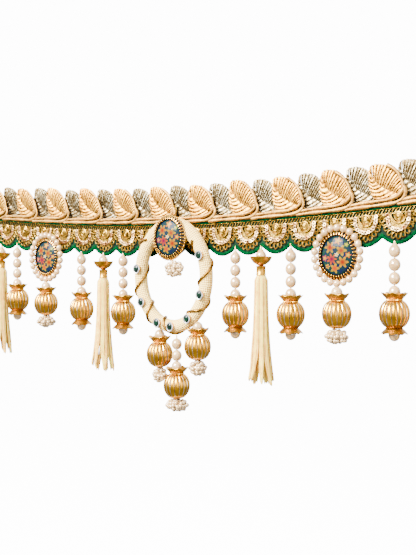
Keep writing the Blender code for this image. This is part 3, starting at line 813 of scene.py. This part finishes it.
def petal_cap(flip=False):
    """A thin flared cap whose rim has points, from the neck outwards and back down inside."""
    around = 64
    rows = []
    for n, (r, z) in enumerate(CAP_PROFILE):
        row = []
        for k in range(around):
            turn = 2 * pi * k / around
            flare = max(0.0, (r - 5.5) / 3.0)
            point = cos(CAP_POINTS * turn)
            radius = r * (1 + 0.05 * flare * point)
            rise = z + 0.45 * flare * point
            if n in (1, 2):
                radius *= 1 + 0.04 * cos(4 * CAP_POINTS * turn)
            row.append((radius * cos(turn) * MM, radius * sin(turn) * MM, rise * MM))
        rows.append(row)
    shape = skin(rows, round_row=True, finish=2)
    return moved(shape, scale=(1, 1, -1)) if flip else shape


MELON = melon()
CAP = petal_cap()
FOOT_CAP = moved(petal_cap(flip=True), scale=(1, 1, 0.94))
# The foot cap takes the fourth finish, the gold with painted shade.
FOOT_CAP["finish"] = CAP["finish"] + 1
COLLAR = turned_mm(((4.4, -8.8), (4.9, -9.2), (3.4, -9.8), (0.0, -9.8)), 32)
BEAD_BELOW_TOP = 14.1 * MM
print("faces of a melon bead, its cap:", len(MELON["faces"]), len(CAP["faces"]))


def hang_bead(name, node, foot_cap):
    """The bead in place of its solid; the solid's box gives its place."""
    low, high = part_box(node)
    at = Vector(((low[0] + high[0]) / 2, (low[1] + high[1]) / 2, high[2] - BEAD_BELOW_TOP))
    spin = Matrix.Rotation(random.uniform(0, 0.39), 4, "Z")
    parts = [MELON, CAP, FOOT_CAP if foot_cap else COLLAR]
    placed = [moved(p, at, spin) for p in parts]
    piece(name, placed, [GILT, SILVERED, DEEP_GILT, PAINTED_SHADE_FOOT_GILT], node)
    return at


# %% [markdown]
# ## Pearls on their threads
# Pearls touch on a thread. Each is a little off round, and the lowest on the plain drops sits in the foot
# cap. Bunches of seed pearls are short loops of tiny beads, so their outline is lumpy.
# %% Pearl makers
DROP_Y = -2.0 * MM
PEARL_PITCH = 9.0 * MM
PEARL_SHAPE = bead(PEARL, 28, 18)
END_SHAPE = bead(3.9 * MM, 24, 14)
SEED = 1.55 * MM
SEED_SHAPE = bead(SEED, 10, 7)
THREAD = 0.5 * MM
KNOT = turned_mm(((0.5, 3.0), (0.9, 1.6), (1.9, 0.4), (2.4, -0.4)), 16)


def knot_over(x, level):
    """The knot that closes a thread over the pearl at this level."""
    return moved(KNOT, (x, DROP_Y, level + PEARL - 0.2 * MM))


print(f"pearls {2 * PEARL / MM:.1f} mm wide, seed pearls {2 * SEED / MM:.1f} mm")


def pearl_at(x, y, z, shape=None):
    """One pearl, slightly out of round, with its drilled poles upright."""
    odd = random.uniform(0.97, 1.02)
    spin = Matrix.Rotation(random.uniform(0, 3), 4, "Z")
    return moved(shape or PEARL_SHAPE, (x, y, z), spin, (odd, 1.0, 1.11))


def seed_bunch(middle, wide, deep, tall, rows=5):
    """Seed pearls over an oval bunch, in rows that are set off from each other."""
    core = [half - 1.8 * SEED for half in (wide, deep, tall / 2)]
    made = [moved(bead(1.0, 16, 10), middle, None, core)]
    for n in range(rows):
        level = sin(pi / 2 * (1 - 2 * (n + 0.5) / rows)) if rows > 1 else 0
        girth = sqrt(max(0.0, 1 - level * level))
        around = max(3, int(2 * pi * (wide + deep) / 2 * girth / (2 * SEED) * 1.05))
        for k in range(around):
            turn = 2 * pi * (k + 0.5 * (n % 2) + random.uniform(-0.4, 0.4)) / around
            swell = random.uniform(0.8, 1.0)
            at = Vector(middle) + Vector(
                (
                    (wide - SEED) * girth * swell * cos(turn),
                    (deep - SEED) * girth * swell * sin(turn),
                    (tall / 2 - SEED) * min(1.0, max(-1.0, level + random.uniform(-0.16, 0.16))),
                )
            )
            odd = random.uniform(0.86, 1.06)
            made.append(moved(SEED_SHAPE, at, None, (odd, odd, odd)))
    for _ in range(int(rows * 1.5)):
        turn = random.uniform(0, 2 * pi)
        across = (0.45 * wide * cos(turn), 0.45 * deep * sin(turn))
        made.append(moved(SEED_SHAPE, Vector(middle) + Vector((*across, random.uniform(-0.3, 0.3) * tall))))
    return made


# %% Six pearl drops
PEARL_DROPS_MM = ((-171.8, 28.4), (-96.9, 29.5), (-52.7, 29.5), (52.3, 27.4), (97.6, 27.8), (173.2, 29.5))
for n, (x_mm, first_mm) in enumerate(PEARL_DROPS_MM, 1):
    x = x_mm * MM
    first = sag(x) + PIPING_LEVEL - first_mm * MM
    shapes = [pearl_at(x, DROP_Y, first - i * PEARL_PITCH) for i in range(4)]
    ball = hang_bead(f"drop_{n}_melon_bead", f"drop_{n}_ball", True)
    shapes.append(pearl_at(x, DROP_Y, ball.z - 13.8 * MM, END_SHAPE))
    thread = [(x, DROP_Y, scallop_edge(x) + 1.4 * MM), (x, DROP_Y, ball.z - 13 * MM)]
    shapes.append(tube(smooth(thread, 12), THREAD, 8, finish=1))
    shapes.append(knot_over(x, first))
    piece(f"drop_{n}_pearls", shapes, [PEARL_LACQUER, IVORY_THREAD], f"drop_{n}_string")

# %% [markdown]
# ## The tassels
# A pearl sits in a flared cup over a ferrule, and loops of ivory thread fall from it. Each loop goes down,
# turns and comes back, and towards the foot the loops part into a few locks.
# %% Tassels
# Place along the band, depth of the pearl under the piping and length of the skirt.
TASSELS_MM = ((-191.5, 29.4, 77.0), (-73.3, 29.8, 76.0), (73.7, 26.6, 81.0), (199.0, 29.4, 78.0))
SKIRT_TOP = -13.9 * MM
STRAND_LOOPS = 34
STRAND = 0.56 * MM
LOCKS = 7
LOCKS_PART = 0.78  # share of the length at which the locks part


def skirt(rng, long):
    """Looped strands that leave the ferrule side by side and part into locks near the foot."""
    made = []
    lock_length = [rng.uniform(0.93, 1.0) for _ in range(LOCKS)]
    phase = rng.uniform(0, 2 * pi)
    for k in range(STRAND_LOOPS):
        inner = k % 3 == 0
        turn = 2 * pi * k / STRAND_LOOPS
        which = round((turn - phase) / (2 * pi) * LOCKS)
        lock = phase + which * 2 * pi / LOCKS
        odd = rng.uniform(0.92, 1.04)
        length = long * lock_length[which % LOCKS] * rng.uniform(0.965, 1.0)
        lines = []
        for side in (-1, 1):
            line = []
            for share in np.linspace(0, 1, 22):
                pull = max(0.0, share - LOCKS_PART) * 3.4
                angle = (turn + side * 0.07) * (1 - pull) + lock * pull
                reach = (2.4 if inner else 4.4) + 1.2 * share + 3.6 * share**3
                reach = odd * reach * min(1.0, 0.6 + 9 * share)
                line.append((reach * cos(angle) * MM, reach * sin(angle) * MM, -length * share))
            lines.append(np.array(line))
        foot = (lines[0][-1] + lines[1][-1]) / 2 - np.array((0, 0, 1.1 * MM))
        path = np.concatenate([lines[0], [foot], lines[1][::-1]])
        # Every other pair of loops takes the cord with painted shade.
        made.append(tube(path, STRAND * rng.uniform(0.92, 1.08), 5, finish=k // 2 % 2))
    core = [(0.0, 0.0)]
    for share in np.linspace(0, LOCKS_PART, 14):
        core.append(((3.5 + 0.6 * share) * min(1.0, 0.5 + 9 * share, (0.84 - share) * 8), -long / MM * share))
    made.append(turned_mm(core + [(0.0, core[-1][1])], 30))
    return made


# Twisted rayon cord: cream with a soft glow where light passes through the outer strands.
SILK_STRAND = mottled(
    "twisted_ivory_silk", "#E4B44A", "#FAD25E", 5, 0.8, 0.10,
    Roughness=0.45, Specular_IOR_Level=0.25, Subsurface_Weight=0.3, Subsurface_Scale=0.004,
)
# The same cord with its neighbours' shade painted in: a tan line that parts one strand from the next.
SHADE_PAINTED_STRAND = mottled(
    "ivory_silk_painted_shade", "#CA9640", "#E2B456", 5, 0.8, 0.10, Roughness=0.5, Specular_IOR_Level=0.2
)
CUP = (
    (2.6, -4.5), (4.9, -3.0), (6.6, -1.3), (7.7, -0.2), (8.0, -0.5),
    (7.3, -2.4), (5.6, -4.6), (3.4, -6.0), (1.6, -6.9),
)
FERRULE = (
    (1.6, -6.9), (3.2, -7.0), (3.6, -7.5), (3.3, -7.9), (3.3, -12.8), (3.6, -13.1), (3.6, -13.6), (2.4, -13.7),
)
for n, (x_mm, pearl_mm, skirt_mm) in enumerate(TASSELS_MM, 1):
    x = x_mm * MM
    level = sag(x) + PIPING_LEVEL - pearl_mm * MM
    at = (x, DROP_Y, level)
    levels = (scallop_edge(x) + 1.4 * MM, level + 2 * MM, level)
    shapes = [pearl_at(*at), tube([(x, DROP_Y, z) for z in levels], THREAD, 8, finish=1), knot_over(x, level)]
    piece(f"tassel_{n}_top_pearl", shapes, [PEARL_LACQUER, IVORY_THREAD], f"tassel_{n}_pearl")
    cup = [moved(turned_mm(profile, 40), at) for profile in (CUP, FERRULE)]
    piece(f"tassel_{n}_gilt_cup", cup, [DEEP_GILT], f"tassel_{n}_cup")
    strands = [moved(s, (x, DROP_Y, level + SKIRT_TOP)) for s in skirt(random.Random(n), skirt_mm * MM)]
    piece(f"tassel_{n}_strands", strands, [SILK_STRAND, SHADE_PAINTED_STRAND], f"tassel_{n}_skirt")

# %% [markdown]
# ## The medallions
# A glass dome lies over a printed picture. The print here is a plain flower pattern of the maker's own,
# in the same kinds of colours. Round it runs a gilt setting of fine prongs.
# %% Printed flowers under glass
# Place and reach in millimetres, number of petals, and the colours of petal and heart.
FLOWERS = (
    (-4.6, 5.6, 4.6, 6, "#6E5200", "#5E0C00"),
    (3.6, 3.4, 4.2, 5, "#705800", "#601C00"),
    (-3.2, -2.4, 4.2, 7, "#783000", "#480020"),
    (4.6, -4.4, 4.4, 6, "#7A5800", "#601200"),
    (-1.2, -8.6, 3.8, 5, "#6E5A00", "#802000"),
    (1.0, 10.0, 3.0, 5, "#8A4400", "#907000"),
    (-8.6, -1.8, 2.6, 5, "#640030", "#8A5C00"),
    (8.4, 0.4, 2.4, 5, "#7A2A00", "#907000"),
    (0.4, 0.6, 1.7, 5, "#B09A70", "#8A6A00"),
    (-6.6, -7.4, 2.0, 5, "#8C7800", "#7A2000"),
    (7.0, 7.4, 2.0, 5, "#3E5A08", "#8A7400"),
)
# Printed paper under a glass dome: deep colours, and a faint gloss that runs over them.
PRINTED_DOME, tree, shader = new_finish(
    "printed_picture_under_glass",
    Roughness=0.5,
    Specular_IOR_Level=0.03,
    Coat_Weight=0.1,
    Coat_Roughness=0.08,
)
spot = add(tree, "UVMap", uv_map="run_mm")
leafy = add(tree, "TexVoronoi", {"Vector": spot.outputs["UV"], "Scale": 0.8, "Randomness": 1.0})
leaf_share = add(tree, "MapRange", {"Value": leafy.outputs["Distance"], "From Min": 0.1, "From Max": 0.8})
leaf_colours = {0: leaf_share.outputs["Result"], 6: linear("#0B2A0C"), 7: linear("#0A0C2A")}
print_colour = add(tree, "Mix", leaf_colours, data_type="RGBA").outputs[2]
for cx, cy, reach, petals, petal_hex, heart_hex in FLOWERS:
    out = add(tree, "VectorMath", {0: spot.outputs["UV"], 1: (cx, cy, 0)}, operation="SUBTRACT")
    parts = add(tree, "SeparateXYZ", {"Vector": out.outputs["Vector"]})
    angle = add(tree, "Math", {0: parts.outputs["Y"], 1: parts.outputs["X"]}, operation="ARCTAN2")
    lobes = add(tree, "Math", {0: angle.outputs[0], 1: float(petals)}, operation="MULTIPLY")
    wave = add(tree, "Math", {0: lobes.outputs[0]}, operation="COSINE")
    edge = {0: wave.outputs[0], 1: 0.24 * reach, 2: 0.72 * reach}
    limit = add(tree, "Math", edge, operation="MULTIPLY_ADD")
    far = add(tree, "VectorMath", {0: out.outputs["Vector"]}, operation="LENGTH")
    inside = add(tree, "Math", {0: limit.outputs[0], 1: far.outputs["Value"]}, operation="SUBTRACT")
    petal = add(tree, "MapRange", {"Value": inside.outputs[0], "From Min": 0.0, "From Max": 0.25})
    heart = {"From Min": 0.15 * reach, "From Max": 0.75 * reach}
    tint = add(tree, "MapRange", {"Value": far.outputs["Value"], **heart})
    hues = {0: tint.outputs["Result"], 6: linear(heart_hex), 7: linear(petal_hex)}
    petal_colour = add(tree, "Mix", hues, data_type="RGBA").outputs[2]
    layers = {0: petal.outputs["Result"], 6: print_colour, 7: petal_colour}
    print_colour = add(tree, "Mix", layers, data_type="RGBA").outputs[2]
tree.links.new(print_colour, shader.inputs["Base Color"])
print("flowers in the print:", len(FLOWERS))

# %% Medallion maker
OVAL = (0.92, 1.09)
PRONGS = 40
DOME_PROFILE = (
    (0, 4.2), (0.05, 4.2), (3.4, 4.05), (6.6, 3.7), (9.0, 3.15),
    (10.8, 2.6), (12.0, 2.0), (12.6, 1.2), (12.7, 0.4),
)
PRONG_LINE = ((12.7, 2.9), (13.3, 3.3), (14.6, 2.5), (15.5, 1.6))
# Finish 1, on the inner wall and under the prongs, is painted shade; finish 0 is the gilt.
SETTING_PARTS = (
    (((12.8, 0.1), (12.8, 2.0), (13.0, 2.5), (13.3, 2.3)), 1),
    (((13.3, 2.3), (14.2, 1.5), (15.2, 1.2)), 1),
    (((15.2, 1.2), (15.9, 0.6), (15.6, 0.0), (12.5, 0.0), (0.01, 0.0)), 0),
)


def on_oval(radius, turn, y):
    """A point of the oval setting, seen from the front; y is towards the viewer."""
    return (OVAL[0] * radius * cos(turn), -y, OVAL[1] * radius * sin(turn))


def oval_skin(profile, around, finish=0):
    """A skin over ovals of (radius, y) in millimetres."""
    turns = full_turn(around)
    rows = [[on_oval(r * MM, t, y * MM) for t in turns] for r, y in profile]
    return skin(np.array(rows), round_row=True, finish=finish)


def medallion(name, node, at):
    """The dome, its setting of prongs and beads, at the setting's back."""
    dome = oval_skin(DOME_PROFILE, 48)
    flat_points = dome["points"] / MM
    dome["uvs"] = flat_points[:, (0, 2)][dome["faces"]]
    piece(f"{name}_glass_dome", [moved(dome, at)], [PRINTED_DOME], f"{node}_cabochon")
    setting = [oval_skin(profile, 72, finish) for profile, finish in SETTING_PARTS]
    for k in range(PRONGS):
        turn = 2 * pi * k / PRONGS
        line = [on_oval(r * MM, turn, y * MM) for r, y in PRONG_LINE]
        setting.append(tube(smooth(line, 6), 0.5 * MM, 6))
        setting.append(moved(bead(0.55 * MM, 8, 6), on_oval(13.0 * MM, turn, 3.3 * MM)))
        setting.append(moved(bead(0.6 * MM, 8, 6), on_oval(15.7 * MM, turn + pi / PRONGS, 1.1 * MM)))
    placed = [moved(s, at) for s in setting]
    piece(f"{name}_prong_setting", placed, [PALE_GILT, PAINTED_SETTING_SHADE], f"{node}_bezel")


# %% Side medallions
RIM_PEARLS = 22
RIM_PEARL = 2.45 * MM
for side in ("left", "right"):
    low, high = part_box(f"medallion_{side}_bezel")
    middle = Vector(((low[0] + high[0]) / 2, high[1], (low[2] + high[2]) / 2))
    medallion(f"{side}_medallion", f"medallion_{side}", middle)
    rim = []
    for k in range(RIM_PEARLS):
        turn = 2 * pi * (k + 0.5) / RIM_PEARLS
        at = (middle.x + 16.7 * MM * cos(turn), middle.y - RIM_PEARL, middle.z + 18.9 * MM * sin(turn))
        rim.append(pearl_at(*at, bead(RIM_PEARL, 18, 12)))
    piece(f"{side}_medallion_rim_pearls", rim, [PEARL_LACQUER], f"medallion_{side}_pearls")
    ball = hang_bead(f"{side}_medallion_melon_bead", f"medallion_{side}_ball", False)
    shapes = [pearl_at(ball.x, ball.y, ball.z + 14.3 * MM)]
    shapes += seed_bunch((ball.x, ball.y, ball.z - 15.2 * MM), 9.3 * MM, 8.0 * MM, 11.0 * MM)
    shapes.append(tube([(ball.x, ball.y, ball.z + z * MM) for z in (20.5, 14, 10)], 0.5 * MM, 8, finish=1))
    piece(f"{side}_medallion_pearls", shapes, [SEED_PEARL, IVORY_THREAD], f"medallion_{side}_string")

# %% [markdown]
# ## The wrapped ring
# A ring of padded cord is wrapped in a cream net sleeve, whose threads cross on the slant. A gold cord
# spirals round it, and seven green stones sit in silver-rimmed settings on its face.
# %% Ring
RING_CENTRE = Vector((1.5, -9.6, -49.1)) * MM
RING_SEMI_X = 30.2 * MM
RING_SEMI_Z = 38.3 * MM
RING_TUBE = 5.0 * MM
SLEEVE_THREAD_MM = 2.2
# A knitted net sleeve of cotton yarn: a pattern of cream diamonds, with warm shade painted where the weave
# sinks.
CREAM_SLEEVE, tree, shader = new_finish("cream_net_sleeve_painted_shade", Roughness=0.6, Specular_IOR_Level=0.08)
spot = add(tree, "UVMap", uv_map="run_mm")
heights = []
for slant in (1, -1):
    aim = add(tree, "VectorMath", {0: spot.outputs["UV"], 1: (1.0, slant * 1.0, 0)}, operation="DOT_PRODUCT")
    rate = 2 * pi / (SLEEVE_THREAD_MM * 1.414)
    lines = add(tree, "Math", {0: aim.outputs["Value"], 1: rate}, operation="MULTIPLY")
    heights.append(add(tree, "Math", {0: lines.outputs[0]}, operation="SINE").outputs[0])
weave = add(tree, "Math", {0: heights[0], 1: heights[1]}, operation="MULTIPLY")
# The colour follows the weave's height: painted shade low, cream high.
share = add(tree, "MapRange", {"Value": weave.outputs[0], "From Min": -1.0, "From Max": 0.6})
blend = {0: share.outputs["Result"], 6: linear("#D89A30"), 7: linear("#FFE48C")}
colour = add(tree, "Mix", blend, data_type="RGBA")
bump = add(tree, "Bump", {"Height": weave.outputs[0], "Distance": 0.35 * MM, "Strength": 1.0})
tree.links.new(colour.outputs[2], shader.inputs["Base Color"])
tree.links.new(bump.outputs["Normal"], shader.inputs["Normal"])


def ring_point(turn, roll, reach):
    """A point near the ring: turn goes round the oval, roll round its tube from the front outwards."""
    normal = Vector((cos(turn) / RING_SEMI_X, 0, sin(turn) / RING_SEMI_Z)).normalized()
    line = Vector((RING_SEMI_X * cos(turn), 0, RING_SEMI_Z * sin(turn)))
    return RING_CENTRE + line + reach * (normal * sin(roll) - Vector((0, 1, 0)) * cos(roll))


ring_turns = full_turn(144)
ring_line = [ring_point(t, 0, 0) for t in ring_turns]
ring_size = [RING_TUBE * (1 + 0.30 * max(0.0, sin(t)) ** 6) for t in ring_turns]
piece("wrapped_ring", [tube(ring_line, ring_size, 28, closed=True)], [CREAM_SLEEVE], "ring")
# Antique gilt cord: a dark bronze line that winds over the cream.
BRONZE_CORD = mottled("bronze_cord", "#3E2608", "#9A7028", 2.5, 0.5, 0.10, Metallic=1.0, Roughness=0.36)
CROSSINGS = [radians(a) for a in (133, 192, 228, 261, 318, 359, 405)]
cord_path = []
for start, stop in zip(CROSSINGS, CROSSINGS[1:]):
    for i in range(30):
        cord_path.append(ring_point(start + (stop - start) * i / 30, 2 * pi * i / 30, RING_TUBE + 0.35 * MM))
cord_path.append(ring_point(CROSSINGS[-1], 0, RING_TUBE + 0.35 * MM))
piece("ring_gold_cord", [tube(cord_path, 1.15 * MM, 8)], [BRONZE_CORD], "ring_cord")

# %% Ring stones
STONE_ANGLES = (24, 172, 212, 249, 273, 304, 339)
STONE_PARTS = (
    turned_mm(((3.05, 1.5), (3.1, 0.9), (2.8, -0.4), (0, -0.4)), 32),
    turned_mm(((2.2, 1.4), (2.35, 2.0), (2.8, 2.1), (3.1, 1.7), (3.05, 1.5)), 32, finish=1),
    turned_mm(((0, 2.4), (1.3, 2.35), (2.0, 1.9), (2.25, 1.45)), 8, finish=2),
)
UPRIGHT = Matrix.Rotation(pi / 2, 4, "X") @ Matrix.Diagonal((1.0, 1.18, 1.0, 1.0))
# Polished white metal: a bright ring round each dark stone.
SILVER_RIM = mottled("silver_rim", "#BDBDBD", "#FAFAFA", 2, 0.6, 0.05, Metallic=0.85, Roughness=0.2)
for n, angle in enumerate(STONE_ANGLES, 1):
    at = ring_point(radians(angle), 0, RING_TUBE + 0.2 * MM)
    piece(
        f"green_stone_{n}",
        [moved(s, at, UPRIGHT) for s in STONE_PARTS],
        [GILT, SILVER_RIM, GREEN_GLASS],
        f"ring_stone_{n}",
        crisp=25,
    )

# %% Centre medallion, its bunch and its thread tab
CENTRE_AT = Vector((2.5, -14.9, -19.9)) * MM
medallion("centre_medallion", "centre", CENTRE_AT)
low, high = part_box("centre_cluster")
bunch_middle = Vector([(a + b) / 2 for a, b in zip(low, high)])
piece(
    "centre_seed_pearls",
    seed_bunch(bunch_middle, 9.0 * MM, 5.4 * MM, 13.0 * MM, 6),
    [SEED_PEARL],
    "centre_cluster",
)
TAB_ROUTE = ((-3.9, 5.5), (-3.9, -0.2), (-5.3, -1.6), (-7.4, -3.4), (-10.2, -4.2), (-14.0, -4.6))
tab = []
for k in range(7):
    dx = (k - 3) * 0.42
    line = []
    for i, (y, z) in enumerate(TAB_ROUTE):
        line.append(((-0.5 + dx * (1 - 0.25 * sin(i))) * MM, (y - 0.2 * (k % 2)) * MM, z * MM))
    tab.append(tube(smooth(line, 18), 0.3 * MM, 6))
piece("gold_thread_tab", tab, [ZARI], "thread_tab")

# %% Drops below the ring
RING_DROPS = {
    "left": {"x": -11.0, "thread": -90.2, "pearls": (-94.6,), "bunch": (7.0, 12.5)},
    "middle": {"x": 5.0, "thread": -94.0, "pearls": (-100.8, -109.6, -118.1), "bunch": (10.0, 10.5)},
    "right": {"x": 24.0, "thread": -82.8, "pearls": (-87.3,), "bunch": (8.3, 12.5)},
}
for side, row in RING_DROPS.items():
    ball = hang_bead(f"ring_{side}_melon_bead", f"ring_ball_{side}", False)
    x = row["x"] * MM
    shapes = [pearl_at(x, RING_CENTRE.y, z * MM) for z in row["pearls"]]
    wide, tall = row["bunch"]
    bunch_at = (x, RING_CENTRE.y, ball.z - (9.7 + tall / 2) * MM)
    shapes += seed_bunch(bunch_at, wide * MM, wide * 0.85 * MM, tall * MM)
    thread = [(x, RING_CENTRE.y, row["thread"] * MM), (x, RING_CENTRE.y, ball.z - 8 * MM)]
    shapes.append(tube(smooth(thread, 8), 0.5 * MM, 8, finish=1))
    piece(f"ring_{side}_pearls", shapes, [SEED_PEARL, IVORY_THREAD], f"ring_string_{side}")


# %% [markdown]
# ## Floor and finish
# The hanging is in the air, so the pale floor lies well below it.
# %% Floor and finish
# Matt white studio paper: an even pale ground, as bright as the tent behind it.
FLOOR_WHITE = mottled("white_studio_floor", "#F4F3F1", "#FBFAF9", 300, 40, 0.0, Roughness=0.9)
floor_mesh = bpy.data.meshes.new("floor")
floor_mesh.from_pydata([(-30, -30, -1), (30, -30, -1), (30, 30, -1), (-30, 30, -1)], [], [(0, 1, 2, 3)])
shader = FLOOR_WHITE.node_tree.nodes["Principled BSDF"]
shader.inputs["Emission Color"].default_value = (1, 1, 1, 1)
shader.inputs["Emission Strength"].default_value = TENT_SEEN - TENT_ABOVE
floor_mesh.materials.append(FLOOR_WHITE)
floor = bpy.data.objects.new("studio_floor", floor_mesh)
bpy.context.scene.collection.objects.link(floor)
floor.visible_diffuse = False
floor.visible_glossy = False
print("triangles", sum(counts.values()), "largest", max(counts, key=counts.get), max(counts.values()))
